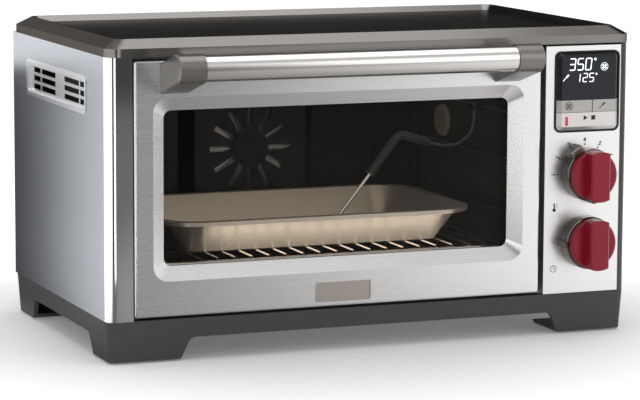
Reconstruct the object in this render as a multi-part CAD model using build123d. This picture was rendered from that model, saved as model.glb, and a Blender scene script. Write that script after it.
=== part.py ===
from build123d import *
import math
import os

# Countertop convection oven with a drop-down door and a control column on its right.
# Millimetres. X runs along the front from left to right, Z is up, and the front faces -Y.
# Depths are measured from the door's face, and the last step moves the whole model back
# so that the origin is on the floor at the middle of the oven's box.

# Housing
body_width = 570.0
body_depth = 330.0
base_top = 43.0
lid_bottom = 304.5
corner_radius = 10.0
sheet = 1.0
fold = 12.0
side_x = body_width / 2
panel_width = 86.0
panel_gap = 5.0
door_margin = 28.0
post_face = 26.6
control_right = side_x - corner_radius
panel_left = control_right - panel_width

# Base with its four feet
pad_drop = 2.0
pad_sink = 1.0
base_taper = 3.0
base_wall = 4.0
base_flange = 15.0
base_flange_thick = 3.0
foot_length = 77.0
foot_depth = 58.0
foot_floor = 4.0
arch_height = 23.5
arch_slope = 10.0
arch_corner = 8.0

# Lid
lid_half = side_x
lid_overhang = 4.0
lid_band = 8.5
lid_rise = 8.5
lid_inset = 13.7
lid_recess = 6.0
lid_recess_draft = 4.0
lid_wall = 1.2
lid_front_radius = 14.0

# Door
door_x0 = -side_x + door_margin
door_x1 = panel_left - panel_gap
door_x = (door_x0 + door_x1) / 2
door_width = door_x1 - door_x0
door_bottom = 45.2
door_top = 301.0
door_skin = 1.5
door_shell_depth = 12.0
door_depth = 24.0
door_edge_radius = 2.5
window_margin = 33.5
window_bottom = 95.0
window_top = 250.0
bevel_side = 14.0
bevel_rise = 13.5
bevel_depth = 10.0
glass_thick = 3.0
glass_lap = 6.0
liner_margin = 5.5
liner_bottom = 49.0
liner_skin = 1.2
liner_top = 291.0
hinge_depth = 7.0
hinge_height = 52.4
hinge_margin = 15.5
hinge_arm = 3.0
hinge_boss = 5.0
hinge_pin_radius = 2.45
running_gap = 0.05
gap = 0.3

# Badge plate, left bare
badge_x = door_x + 1.2
badge_z = 61.0
badge_width = 60.0
badge_height = 20.4
badge_corner = 3.0
badge_rim = 1.8
badge_proud = 1.5
badge_sink = 0.6
badge_chamfer = 0.4

# Handle
handle_x = door_x + 1.5
handle_margin = 25.5
handle_half = door_width / 2 - handle_margin
handle_reach = 45.0
handle_height = 295.5
bar_radius = 13.0
bar_wall = 1.5
sleeve_radius = 14.5
sleeve_length = 28.5
bar_insert = 20.0
bracket_low = 267.5
bracket_high = 298.0

# Cavity
cavity_margin = 16.5
cavity_width = door_width - 2 * cavity_margin
cavity_floor_z = 58.0
cavity_roof_z = 280.0
frame_front = 26.0
frame_thick = 1.2
back_space = 46.0
cavity_back_y = body_depth - back_space
rack_levels = (88.0, 127.0, 182.0, 231.0)
guide_depth = 7.0
guide_height = 4.0
guide_front = 36.0
guide_back = cavity_back_y - 26.0
element_radius = 4.0
ceramic_half = 6.0
ceramic_flange = 8.0
ceramic_thick = 3.0
ceramic_length = 9.0
upper_element_z = 269.0
lower_element_z = 72.0
element_front = 70.0
element_back = cavity_back_y - 58.0
element_depths = (element_front, (element_front + element_back) / 2, element_back)

# Rack, pan and food probe
rack_rod = 2.5
rack_rod_sides = 12
rack_wire = 1.5
rack_wire_sides = 8
rack_weld = 0.4
rack_corner = 10.0
rack_pitch = 18.5
rack_front = 38.0
rack_back = guide_back
rack_side_gap = 2.5
pan_side_gap = 31.0
pan_width = cavity_width - 2 * pan_side_gap
pan_front = 42.0
pan_back_gap = 30.0
pan_depth = cavity_back_y - pan_back_gap - pan_front
pan_height = 35.0
pan_draft = 26.0
pan_wall = 1.2
pan_rim = 9.0
pan_corner = 45.0
probe_cord_radius = 1.5
jack_depth = 115.0
jack_height = 238.0
jack_hole = 6.0

# Control column
panel_skin = 1.5
control_inset = 46.5
control_x = panel_left + control_inset
mode_height = 168.6
time_height = 97.2
collar_radius = 27.5
collar_depth = 16.0
pointer_reach = 33.0
heel_reach = 30.5
cap_radius = 25.6
cap_back = 17.0
cap_front = 24.0
grip_half = 10.8
grip_proud = 14.0
hub_radius = 7.0
shaft_radius = 3.0
board_depth = 16.0
board_thick = 1.6
display_width = 74.6
display_height = 84.6
display_z = 254.4
display_bevel = 4.3
display_proud = 4.5
key_split = 246.0
key_gap = 0.4
key_travel = 0.8

# Fans
conv_fan_z = 175.0
conv_fan_radius = 58.0
baffle_half = 78.0
baffle_depth = 16.0
baffle_draft = 14.0
cool_fan_half = 40.0
cool_fan_z = 190.0

cavity_left = door_x - cavity_width / 2
cavity_right = door_x + cavity_width / 2
cavity_front = frame_front + frame_thick
divider_x = cavity_right + 17.0
rear_spacer = 12.0
rear_inset = 1.0
rear_y = body_depth - rear_inset - sheet
front_reach = handle_reach + sleeve_radius
move_back = -(body_depth - rear_inset + rear_spacer - front_reach) / 2

os.makedirs("parts", exist_ok=True)


def save(name, *shapes):
    """Write one sub-part, moved so that the oven's box is centred on the origin."""
    placed = [Pos(0, move_back, 0) * s for shape in shapes for s in shape.solids()]
    whole = placed[0] if len(placed) == 1 else Compound(children=placed)
    whole.label = name
    export_step(whole, f"parts/{name}.step")


def block(x0, x1, y0, y1, z0, z1):
    centre = Pos((x0 + x1) / 2, (y0 + y1) / 2, (z0 + z1) / 2)
    return centre * Box(abs(x1 - x0), abs(y1 - y0), abs(z1 - z0))


def front_plane(y):
    """Sketch plane seen from the front: its x is X and its y is Z."""
    return Plane(origin=(0, y, 0), x_dir=(1, 0, 0), z_dir=(0, -1, 0))


def side_plane(x):
    """Sketch plane seen from the right: its x is Y and its y is Z."""
    return Plane(origin=(x, 0, 0), x_dir=(0, 1, 0), z_dir=(1, 0, 0))


def slab_y(sketch, y0, y1):
    """A front-view outline made solid between two depths."""
    return extrude(front_plane(y1) * sketch, amount=y1 - y0)


def slab_x(sketch, x0, x1):
    return extrude(side_plane(x0) * sketch, amount=x1 - x0)


def slab_z(sketch, z0, z1):
    return extrude(Plane.XY.offset(z0) * sketch, amount=z1 - z0)


def rect(a0, a1, b0, b1, radius=0.0):
    """Rectangle between two corners, with rounded corners if a radius is given."""
    shape = RectangleRounded(a1 - a0, b1 - b0, radius) if radius else Rectangle(a1 - a0, b1 - b0)
    return Pos((a0 + a1) / 2, (b0 + b1) / 2) * shape


def disc(a, b, radius):
    return Pos(a, b) * Circle(radius)


def rod_y(x, z, radius, y0, y1):
    return slab_y(disc(x, z, radius), y0, y1)


def rod_x(y, z, radius, x0, x1):
    return slab_x(disc(y, z, radius), x0, x1)


def rod_z(x, y, radius, z0, z1):
    return slab_z(disc(x, y, radius), z0, z1)


def many_sided(radius, sides):
    """Section of a thin rod, with a flat side on top."""
    return Rot(0, 0, 180 / sides) * RegularPolygon(radius, sides)


def tube_along(path, radius, sides=0):
    """Bar swept along a path of lines and tangent arcs, round unless a number of sides is given."""
    section = many_sided(radius, sides) if sides else Circle(radius)
    return sweep(Plane(origin=path @ 0, z_dir=path % 0) * section, path=path)


def ruled_loft(sections):
    return loft(sections, ruled=True)


def drafted(sketch, height, draft):
    """Outline made solid with sides that lean inwards by the draft, or outwards if it is negative."""
    return extrude(sketch, amount=height, taper=math.degrees(math.atan2(draft, height)))


def union(shapes):
    shapes = list(shapes)
    return shapes[0] + shapes[1:] if len(shapes) > 1 else shapes[0]


def mirrored(shape):
    return mirror(shape, about=Plane.YZ)


def frame_y(outer, inner, y0, y1):
    """Flat ring between two outlines."""
    return slab_y(outer, y0, y1) - slab_y(inner, y0 - 1, y1 + 1)


def slots(columns, rows, height):
    """Grid of slots: columns are pairs of edges, rows are centres."""
    cells = [rect(a, b, c - height / 2, c + height / 2) for a, b in columns for c in rows]
    return union(cells)


# Base
foot_xs = (-side_x + foot_length / 2, side_x - foot_length / 2)
foot_ys = (foot_depth / 2, body_depth - foot_depth / 2)
pad_radius = 11.0


def rubber_feet():
    return [rod_z(x, y, pad_radius, 0, pad_drop + pad_sink) for x in foot_xs for y in foot_ys]


def arch(start, end):
    """Opening between two feet, with sloping sides and rounded top corners."""
    slope = arch_slope / (arch_height - pad_drop)
    foot = arch_slope - slope * arch_height
    low = -1.0
    points = [
        (end - foot - slope * low, low),
        (end - arch_slope, arch_height),
        (start + arch_slope, arch_height),
        (start + foot + slope * low, low),
    ]
    shape = Polygon(*points, align=None)
    return fillet(shape.vertices().group_by(Axis.Y)[-1], arch_corner)


def plan(inset, radius=corner_radius):
    return rect(-side_x + inset, side_x - inset, inset, body_depth - inset, radius)


def base_frame():
    foot_plan = Plane.XY.offset(pad_drop) * plan(base_taper, corner_radius - base_taper)
    body = drafted(foot_plan, base_top - pad_drop, -base_taper)
    inside = base_wall + base_taper
    body -= slab_z(plan(inside, 0), pad_drop + foot_floor, base_top - base_flange_thick)
    body -= slab_z(plan(base_flange, 0), base_top - base_flange_thick - 1, base_top + 1)
    body -= slab_y(arch(-side_x + foot_length, side_x - foot_length), -1, body_depth + 1)
    body -= slab_x(arch(foot_depth, body_depth - foot_depth), -side_x - 1, side_x + 1)
    for x in foot_xs:
        for y in foot_ys:
            body -= rod_z(x, y, pad_radius, 0, pad_drop + pad_sink)
    return body


plate_z = base_top + sheet


def bottom_plate():
    plate = block(-side_x + sheet, side_x - sheet, frame_front, rear_y, base_top, plate_z)
    columns = [(x, x + 36) for x in range(-218, 200, 66)]
    rows = (90, 165, 240)
    return plate - slab_z(slots(columns, rows, 5.0), base_top - 1, plate_z + 1)


# Side vents
vent_y0, vent_y1 = 66.0, body_depth - 53.0
vent_z0, vent_z1 = 242.0, 280.7
vent_radius = 7.0
vent_rim = 3.0
vent_proud = 1.0
vent_depth = 4.0
vent_middle = (vent_y0 + vent_y1) / 2 - 5.5
vent_rows = (252.5, 261.3, 270.1)
vent_slot = 5.4
vent_columns = [(16, 66), (70, 94)]


def vent_outline(inset):
    return rect(vent_y0 + inset, vent_y1 - inset, vent_z0 + inset, vent_z1 - inset, vent_radius - inset / 2)


def left_vent():
    """Pressed grille: a raised rim round a sunken tray with slots."""
    out = -side_x - vent_proud
    back = -side_x + vent_depth
    tray = slab_x(vent_outline(0), out, -side_x) + slab_x(vent_outline(vent_rim), -side_x, back)
    tray -= slab_x(vent_outline(vent_rim + 1.2), out - 1, back - 1.2)
    spans = [(vent_middle + a, vent_middle + b) for a, b in vent_columns]
    spans += [(vent_middle - b, vent_middle - a) for a, b in vent_columns]
    return tray - slab_x(slots(spans, vent_rows, vent_slot), out - 1, back + 1)


# Outer panels
def left_side_panel():
    skin = block(-side_x, -side_x + sheet, corner_radius, rear_y, base_top, lid_bottom)
    skin -= slab_x(vent_outline(vent_rim), -side_x - 1, -side_x + sheet + 1)
    inner = -side_x + sheet + fold
    low = block(-side_x, inner, cavity_front, rear_y, plate_z, plate_z + sheet)
    high = block(-side_x, inner, cavity_front, rear_y, lid_bottom - sheet, lid_bottom)
    return skin + low + high


def left_corner_post():
    """Rounded sheet corner beside the door, folded back to the front frame."""
    width = post_face
    outer = rect(-side_x, -side_x + width, 0, frame_front)
    outer = fillet(outer.vertices().sort_by(Axis.X)[:2].sort_by(Axis.Y)[0], corner_radius)
    inner = rect(-side_x + sheet, -side_x + width - sheet, sheet, frame_front + 1)
    inner = fillet(inner.vertices().sort_by(Axis.X)[:2].sort_by(Axis.Y)[0], corner_radius - sheet)
    post = slab_z(outer - inner, base_top, lid_bottom)
    return post - block(-side_x - 1, -side_x + sheet + 0.001, corner_radius, frame_front + 1, 0, lid_bottom + 1)


def right_corner_post():
    """Rounded sheet corner beside the controls, folded back behind the panel's edge."""
    left = control_right
    outer = rect(left, side_x, 0, frame_front)
    outer = fillet(outer.vertices().sort_by(Axis.X)[2:].sort_by(Axis.Y)[0], corner_radius - 0.01)
    inner = rect(left + sheet, side_x - sheet, sheet, frame_front + 1)
    inner = fillet(inner.vertices().sort_by(Axis.X)[2:].sort_by(Axis.Y)[0], corner_radius - 2 * sheet - 0.1)
    post = slab_z(outer - inner, base_top, lid_bottom)
    return post - block(side_x - sheet - 0.001, side_x + 1, corner_radius, frame_front + 1, 0, lid_bottom + 1)


gland_x, gland_z, gland_radius = side_x - 70.0, 78.0, 8.0
gland_bore = 3.6
cool_fan_x = control_x + 0.5


def rear_panel():
    skin = block(-side_x, side_x, rear_y, rear_y + sheet, base_top, lid_bottom)
    motor = slots([(door_x + k * 74 - 33, door_x + k * 74 + 33) for k in (-0.5, 0.5)],
                  range(136, 230, 15), 5.0)
    column = slots([(cool_fan_x - 26, cool_fan_x + 26)], range(154, 240, 15), 5.0)
    skin -= slab_y(motor, rear_y - 1, rear_y + sheet + 1)
    skin -= slab_y(column, rear_y - 1, rear_y + sheet + 1)
    return skin - rod_y(gland_x, gland_z, gland_radius, rear_y - 1, rear_y + sheet + 1)


spacer_xs = (-side_x + 85.0, side_x - 85.0)
spacer_z = 270.0
spacer_radius = 9.0


def rear_spacers():
    stems = []
    for x in spacer_xs:
        stems.append(rod_y(x, spacer_z, spacer_radius, rear_y + sheet, rear_y + sheet + rear_spacer))
    return stems


def cord_gland():
    """Grommet in the rear panel for the mains lead."""
    flange = rod_y(gland_x, gland_z, gland_radius + 3, rear_y + sheet, rear_y + sheet + 4)
    body = rod_y(gland_x, gland_z, gland_radius, rear_y - 6, rear_y + sheet)
    gland = chamfer(flange.edges().group_by(Axis.Y)[-1], 1.0) + body
    return gland - rod_y(gland_x, gland_z, gland_bore, rear_y - 7, rear_y + 8)


def lid_plan(inset, radius=lid_front_radius):
    back = rear_y + sheet + 0.5
    return rect(-lid_half + inset, lid_half - inset, -lid_overhang + inset, back - inset, radius)


def top_cover():
    """Lid: an upright band, a wide bevel up to a ridge, and a sunken tray inside it."""
    band_top = lid_bottom + lid_band
    ridge = band_top + lid_rise
    tray = ridge - lid_recess
    top_radius = lid_front_radius - 4
    lip = lid_inset + 2.0
    cover = slab_z(lid_plan(0), lid_bottom, band_top)
    cover += ruled_loft([Plane.XY.offset(band_top) * lid_plan(0),
                   Plane.XY.offset(ridge) * lid_plan(lid_inset, top_radius)])
    tray_plan = Plane.XY.offset(tray) * lid_plan(lip + lid_recess_draft, top_radius - 4)
    cover -= drafted(tray_plan, lid_recess, -lid_recess_draft)
    return cover - slab_z(lid_plan(lid_wall + lid_overhang, 0), lid_bottom - 1, tray - lid_wall)


# Cavity
def cavity_right_wall():
    wall = block(cavity_right, cavity_right + sheet, cavity_front, cavity_back_y, cavity_floor_z, cavity_roof_z)
    wall += union(rack_guide(z) for z in rack_levels)
    wall -= block(cavity_right - guide_depth - 1, cavity_right, jack_depth - 12, jack_depth + 12,
                  rack_levels[-1] - guide_height - 1, jack_height)
    wall -= element_holes()
    return wall - rod_x(jack_depth, jack_height, jack_hole, cavity_right - 1, cavity_right + 2)


def rack_guide(z):
    """Ledge pressed into the right wall: a shelf with a rounded front end."""
    shelf = block(cavity_right - guide_depth, cavity_right, guide_front, guide_back, z - guide_height, z)
    return chamfer(shelf.edges().filter_by(Axis.Z).sort_by(Axis.X)[:2], guide_depth - 2)


def cavity_left_wall():
    wall = block(cavity_left - sheet, cavity_left, cavity_front, cavity_back_y, cavity_floor_z, cavity_roof_z)
    wall += other_side(union(rack_guide(z) for z in rack_levels))
    return wall - element_holes()


def cavity_floor():
    pan = block(cavity_left - sheet, cavity_right + sheet, cavity_front, cavity_back_y,
                cavity_floor_z - sheet, cavity_floor_z)
    rib = block(cavity_left + 30, cavity_right - 30, cavity_back_y - 4, cavity_back_y - 3,
                cavity_floor_z, cavity_floor_z + 3)
    return pan + rib


def cavity_roof():
    return block(cavity_left - sheet, cavity_right + sheet, cavity_front, cavity_back_y,
                 cavity_roof_z, cavity_roof_z + sheet)


def cavity_back():
    wall = block(cavity_left - sheet, cavity_right + sheet, cavity_back_y, cavity_back_y + sheet,
                 cavity_floor_z - sheet, cavity_roof_z + sheet)
    return wall - rod_y(door_x, conv_fan_z, motor_hole, cavity_back_y - 1, cavity_back_y + 2)


motor_hole = 12.0


def fan_baffle():
    """Shallow pressed dish over the convection fan, with a ring of intake slots."""
    front = cavity_back_y - baffle_depth
    rim = rect(door_x - baffle_half, door_x + baffle_half, conv_fan_z - baffle_half, conv_fan_z + baffle_half, 22)
    inner_rim = offset(rim, -1.4)
    inner_share = (baffle_depth - sheet) / baffle_depth
    dish = drafted(front_plane(cavity_back_y) * rim, baffle_depth, baffle_draft)
    dish -= drafted(front_plane(cavity_back_y) * inner_rim, baffle_depth - sheet, baffle_draft * inner_share)
    holes = union(Pos(door_x, conv_fan_z) * Rot(0, 0, 30 * k) * Pos(34, 0) * Rectangle(26, 6) for k in range(12))
    return dish - slab_y(holes, front - 1, front + sheet + 1)


def front_frame():
    outer = rect(-side_x + sheet, panel_left + 4, plate_z, lid_bottom - 0.5)
    opening = rect(cavity_left, cavity_right, cavity_floor_z, cavity_roof_z, 6)
    return frame_y(outer, opening, frame_front, cavity_front)


def door_gasket():
    seal_front = frame_front - 1.4
    outer = rect(cavity_left - 4, cavity_right + 4, cavity_floor_z - 4, cavity_roof_z + 4)
    inner = rect(cavity_left - 1, cavity_right + 1, cavity_floor_z - 1, cavity_roof_z + 1)
    return frame_y(outer, inner, seal_front, frame_front)


def divider_panel():
    return block(divider_x, divider_x + sheet, cavity_front, rear_y, plate_z, lid_bottom - 0.5)


blanket = 9.0


def insulation_blanket():
    """Mineral wool wrapped over the roof and down both sides of the cavity."""
    outer = rect(cavity_left - sheet - blanket, cavity_right + sheet + blanket,
                 cavity_floor_z, cavity_roof_z + sheet + blanket)
    inner = rect(cavity_left - sheet, cavity_right + sheet, cavity_floor_z - 1, cavity_roof_z + sheet)
    wrap = slab_y(outer - inner, cavity_front, cavity_back_y) - element_holes()
    reach = jack_hole + gap
    return wrap - block(cavity_right, divider_x, jack_depth - reach, jack_depth + reach,
                        jack_height - reach, jack_height + reach)


# Elements, lamp and sensor
def ceramic_end(y, z):
    """Ceramic bush at the left wall: a flange inside and a plug through the wall."""
    flange = ceramic_flange
    bush = block(cavity_left, cavity_left + ceramic_thick, y - flange, y + flange, z - flange, z + flange)
    plug = ceramic_half
    return bush + block(cavity_left - sheet - ceramic_length, cavity_left, y - plug, y + plug, z - plug, z + plug)


def other_side(shape):
    """The same thing at the cavity's other wall."""
    return mirror(shape, about=Plane(origin=(door_x, 0, 0), z_dir=(1, 0, 0)))


def heater(y, z):
    """Straight sheathed heater between its two bushes."""
    rod = rod_x(y, z, element_radius, cavity_left, cavity_right)
    return rod + ceramic_end(y, z) + other_side(ceramic_end(y, z))


def element_holes():
    """Square holes that the bushes' plugs pass through, in both walls and the blanket."""
    half = ceramic_half + gap
    left = union(block(cavity_left - sheet - blanket - 1, cavity_left + 1, y - half, y + half, z - half, z + half)
                 for z in (upper_element_z, lower_element_z) for y in element_depths)
    return left + other_side(left)


def upper_elements():
    return [heater(y, upper_element_z) for y in element_depths]


def lower_elements():
    return [heater(y, lower_element_z) for y in element_depths]


lamp_y, lamp_z, lamp_radius = cavity_back_y - 74.0, 204.5, 18.0


def interior_lamp():
    """Round lens in a ring, flush on the right wall."""
    lens = rod_x(lamp_y, lamp_z, lamp_radius, cavity_right - 4, cavity_right)
    return chamfer(lens.edges().group_by(Axis.X)[0], 1.5)


def temperature_sensor():
    stem = rod_y(cavity_right - 60, 262, 2.5, cavity_back_y - 60, cavity_back_y)
    return stem + rod_y(cavity_right - 60, 262, 6, cavity_back_y - 3, cavity_back_y)


# Convection fan
fan_shaft = 3.0


def convection_motor():
    can = rod_y(door_x, conv_fan_z, 26, cavity_back_y + sheet + 4, rear_y - 3)
    nose = rod_y(door_x, conv_fan_z, 11, cavity_back_y - 2, cavity_back_y + sheet + 4)
    plate = slab_y(rect(door_x - 45, door_x + 45, conv_fan_z - 12, conv_fan_z + 12),
                   cavity_back_y + sheet, cavity_back_y + sheet + 4)
    stay = block(door_x - 6, door_x + 6, rear_y - 3, rear_y, conv_fan_z - 6, conv_fan_z + 6)
    return can + nose + plate + stay - rod_y(door_x, conv_fan_z, fan_shaft + running_gap, cavity_back_y - 3, rear_y - 8)


def convection_fan():
    """Blade wheel on its motor shaft."""
    back = cavity_back_y - 3.5
    wheel = rod_y(door_x, conv_fan_z, conv_fan_radius, back - 1, back)
    wheel += rod_y(door_x, conv_fan_z, 8, back - 7, back)
    for k in range(10):
        blade = block(20, conv_fan_radius - 3, back - 8, back, -0.6, 0.6)
        wheel += Pos(door_x, 0, conv_fan_z) * Rot(0, 36 * k, 0) * Rot(0, 0, 0) * blade
    return wheel + rod_y(door_x, conv_fan_z, fan_shaft, back, rear_y - 12)


# Cooling fan in the control compartment
cool_y0 = rear_y - 32.0


def cooling_fan_housing():
    outer = rect(cool_fan_x - cool_fan_half, cool_fan_x + cool_fan_half,
                 cool_fan_z - cool_fan_half, cool_fan_z + cool_fan_half)
    body = slab_y(outer, cool_y0, rear_y) - rod_y(cool_fan_x, cool_fan_z, cool_fan_half - 3, cool_y0 - 1, rear_y + 1)
    arms = union(block(-cool_fan_half + 1, cool_fan_half - 1, rear_y - 2, rear_y, -2, 2).moved(
        Location((cool_fan_x, 0, cool_fan_z), (0, a, 0))) for a in (45, 135))
    post = rod_y(cool_fan_x, cool_fan_z, 12, rear_y - 3, rear_y) + rod_y(cool_fan_x, cool_fan_z, 2.45, cool_y0 + 4, rear_y)
    return body + arms + post


def cooling_fan_rotor():
    hub = rod_y(cool_fan_x, cool_fan_z, 12, cool_y0 + 2, rear_y - 4)
    for k in range(7):
        blade = block(9, cool_fan_half - 5, -0.8, 0.8, -9, 9)
        hub += Pos(cool_fan_x, (cool_y0 + rear_y) / 2 - 2, cool_fan_z) * Rot(0, k * 360 / 7, 0) * Rot(45, 0, 0) * blade
    return hub - rod_y(cool_fan_x, cool_fan_z, 2.45 + running_gap, cool_y0 + 3.5, rear_y - 3)


# Rack, pan and crumb tray
rail_z = rack_levels[0] + gap + rack_rod
rack_top = rail_z + rack_rod + rack_wire - rack_weld
rack_half = cavity_width / 2 - rack_side_gap - rack_rod


def wire_rack():
    """Closed frame of rod with thinner wires welded across it from front to back."""
    x0, x1 = door_x - rack_half, door_x + rack_half
    loop = FilletPolyline((x0, rack_front, rail_z), (x1, rack_front, rail_z), (x1, rack_back, rail_z),
                          (x0, rack_back, rail_z), radius=rack_corner, close=True)
    rack = tube_along(loop, rack_rod, rack_rod_sides)
    count = int((2 * rack_half - rack_pitch) / rack_pitch)
    start = door_x - rack_pitch * (count - 1) / 2
    wire = many_sided(rack_wire, rack_wire_sides)
    wires = union(Pos(start + k * rack_pitch, rack_top) * wire for k in range(count))
    return rack + slab_y(wires, rack_front, rack_back)


pan_floor = rack_top + rack_wire + gap


def pan_plan(inset):
    half = pan_width / 2 - inset
    return rect(door_x - half, door_x + half, pan_front + inset, pan_front + pan_depth - inset, pan_corner - inset)


def roasting_pan():
    """Sloping pan with a rolled rim."""
    rim_z = pan_floor + pan_height
    foot = pan_rim + pan_draft
    slope = pan_draft / pan_height
    side = pan_wall * 1.25
    body = drafted(Plane.XY.offset(pan_floor) * pan_plan(foot), pan_height, -pan_draft)
    rim = slab_z(pan_plan(0), rim_z - 4, rim_z)
    rim -= slab_z(pan_plan(pan_wall), rim_z - 5, rim_z - pan_wall)
    inside = Plane.XY.offset(pan_floor + pan_wall) * pan_plan(foot - slope * pan_wall + side)
    return body + rim - drafted(inside, pan_height, -pan_draft)


def crumb_tray():
    x0, x1 = cavity_left + 4, cavity_right - 4
    y0, y1 = cavity_front + 4, cavity_back_y - 10
    low = cavity_floor_z
    tray = block(x0, x1, y0, y1, low, low + 6)
    return tray - block(x0 + 1, x1 - 1, y0 + 1, y1 - 1, low + 1, low + 7)


# Food probe
cord_step = 13.0
cord_turns = (270.0, 250.0, 222.0, 195.0, 175.0, 163.4)
cord_end = (cavity_right - 58.7, 193.2)
grip_radius = 4.5
needle_radius = 1.7
elbow_angle = 231.0
grip_rear = 36.6
grip_front = 53.0
needle_length = 82.0


def step_from(point, heading, length):
    return Vector(*point) + Vector(length, 0).rotate(Axis.Z, heading)


def cord_points():
    """Route from the plug to the grip, found backwards from the grip's end."""
    points = [Vector(*cord_end)]
    for heading in reversed(cord_turns):
        points.insert(0, points[0] - Vector(cord_step, 0).rotate(Axis.Z, heading))
    return points


def in_cavity(points):
    return [(p.X, jack_depth, p.Y) for p in points]


def probe_cable():
    points = cord_points()
    radii = []
    for a, b in zip(cord_turns, cord_turns[1:]):
        half_turn = math.radians(abs(a - b)) / 2
        radii.append(0.45 * cord_step / math.tan(half_turn))
    print("cable radii", [round(r, 1) for r in radii], "length", round(cord_step * len(cord_turns), 1))
    path = FilletPolyline(*in_cavity(points), radius=radii)
    cable = tube_along(path, probe_cord_radius)
    print("cable volume", round(cable.volume), "section by length", round(math.pi * probe_cord_radius ** 2 * path.length))
    return cable


plug_x = cord_points()[0].X
plug_low = cord_points()[0].Y


def probe_plug():
    """Right-angle plug: a barrel in the jack and a sleeve down to the cable."""
    barrel = rod_x(jack_depth, jack_height, 5.0, plug_x - 5, cavity_right - 1)
    barrel = chamfer(barrel.edges().group_by(Axis.X)[0], 1.5)
    pin = rod_x(jack_depth, jack_height, 2.5, cavity_right - 1, cavity_right + 12)
    sleeve = rod_z(plug_x, jack_depth, 3.2, plug_low, jack_height)
    return barrel + pin + sleeve


def probe_jack():
    """Socket through the right wall."""
    body = rod_x(jack_depth, jack_height, jack_hole, cavity_right - 1, cavity_right + 16)
    return body - rod_x(jack_depth, jack_height, 2.5, cavity_right - 2, cavity_right + 12)


def probe_elbow():
    end = Vector(*cord_end)
    elbow = end - Vector(grip_rear, 0).rotate(Axis.Z, cord_turns[-1] + 180)
    front = elbow + Vector(grip_front, 0).rotate(Axis.Z, elbow_angle)
    return end, elbow, front


def probe_handle():
    end, elbow, front = probe_elbow()
    path = FilletPolyline(*in_cavity([end, elbow, front]), radius=12)
    return tube_along(path, grip_radius)


def probe_needle():
    end, elbow, front = probe_elbow()
    tip = front + Vector(needle_length, 0).rotate(Axis.Z, elbow_angle)
    start, stop = [Vector(*p) for p in in_cavity([front, tip])]
    axis = (stop - start).normalized()
    point_length = 10.0
    rod = Plane(origin=start, z_dir=axis) * Pos(0, 0, (needle_length - point_length) / 2) * Cylinder(
        needle_radius, needle_length - point_length)
    point = Plane(origin=start, z_dir=axis) * Pos(0, 0, needle_length - point_length / 2) * Cone(
        needle_radius, 0.4, point_length)
    return rod + point


# Door
window_x0, window_x1 = door_x0 + window_margin, door_x1 - window_margin
hinge_xs = (door_x0 + hinge_margin, door_x1 - hinge_margin)
liner_half = door_width / 2 - liner_margin
liner_front = door_depth - liner_skin


def window_rect(grow, radius):
    return rect(window_x0 - grow, window_x1 + grow, window_bottom - grow, window_top + grow, radius)


def hinge_slots(y0, y1):
    half = hinge_arm / 2 + gap
    return union(block(x - half, x + half, y0, y1, door_bottom - 1, hinge_height + hinge_boss + 0.7) for x in hinge_xs)


def door_panel():
    """Front skin with folded edges and a sloping surround pressed back to the glass."""
    shell = slab_y(rect(door_x0, door_x1, door_bottom, door_top, 3), 0, door_shell_depth)
    shell = fillet(shell.edges().group_by(Axis.Y)[0], door_edge_radius)
    inner = rect(door_x0 + door_skin, door_x1 - door_skin, door_bottom + door_skin, door_top - door_skin, 2)
    shell -= slab_y(inner, door_skin, door_shell_depth + 1)
    wide = bevel_side
    shell += ruled_loft([front_plane(bevel_depth) * window_rect(door_skin, 0),
                         front_plane(0.0) * window_rect(wide + door_skin, 0)])
    shell -= ruled_loft([front_plane(bevel_depth + 0.01) * window_rect(0, 8),
                         front_plane(-0.01) * window_rect(wide, 16)])
    return shell - hinge_slots(door_skin + 0.2, door_depth)


def door_outer_glass():
    return slab_y(window_rect(glass_lap, 8), bevel_depth, bevel_depth + glass_thick)


def door_inner_glass():
    return slab_y(window_rect(glass_lap + 10, 8), liner_front - glass_thick, liner_front)


def door_liner():
    """Inner tray of the door, flanged to the shell, with its own window."""
    outer = rect(door_x - liner_half, door_x + liner_half, liner_bottom, liner_top, 8)
    inner = rect(door_x - liner_half + liner_skin, door_x + liner_half - liner_skin,
                 liner_bottom + liner_skin, liner_top - liner_skin, 7)
    reach = door_width / 2 - door_skin
    flange = rect(door_x - reach, door_x + reach, door_bottom + door_skin, door_top - door_skin, 2)
    seat = door_shell_depth - liner_skin
    tray = slab_y(outer, seat, door_depth) - slab_y(inner, seat - 1, liner_front)
    tray += frame_y(flange, inner, seat, door_shell_depth)
    tray -= slab_y(window_rect(6, 6), liner_front - 1, door_depth + 1)
    reach = hinge_arm / 2 + ear_thick + 1
    for x in hinge_xs:
        tray -= block(x - reach, x + reach, seat - 1, liner_front, liner_bottom - 1, liner_bottom + liner_skin + 2)
    return tray - hinge_slots(seat - 1, door_depth + 1)


ear_thick = 3.0


def door_hinges():
    """Pairs of ears on the door that turn on the housing's pins."""
    ears = []
    for x in hinge_xs:
        for side in (-1, 1):
            near = x + side * (hinge_arm / 2 + gap + 0.1)
            far = near + side * ear_thick
            ear = rod_x(hinge_depth, hinge_height, hinge_boss, min(near, far), max(near, far))
            ear += block(near, far, hinge_depth, liner_front, hinge_height - 1, hinge_height + 12)
            ears.append(ear - rod_x(hinge_depth, hinge_height, hinge_pin_radius + running_gap, near - 9, near + 9))
    return ears


def hinge_brackets():
    """Arms on the front frame, each with the pin that its two ears turn on."""
    arms = []
    for x in hinge_xs:
        half = hinge_arm / 2
        arm = rod_x(hinge_depth, hinge_height, hinge_boss, x - half, x + half)
        arm += block(x - half, x + half, hinge_depth, frame_front, hinge_height - hinge_boss, hinge_height + 0.6)
        reach = half + gap + ear_thick
        arms.append(arm + rod_x(hinge_depth, hinge_height, hinge_pin_radius, x - reach, x + reach))
    return arms


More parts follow.
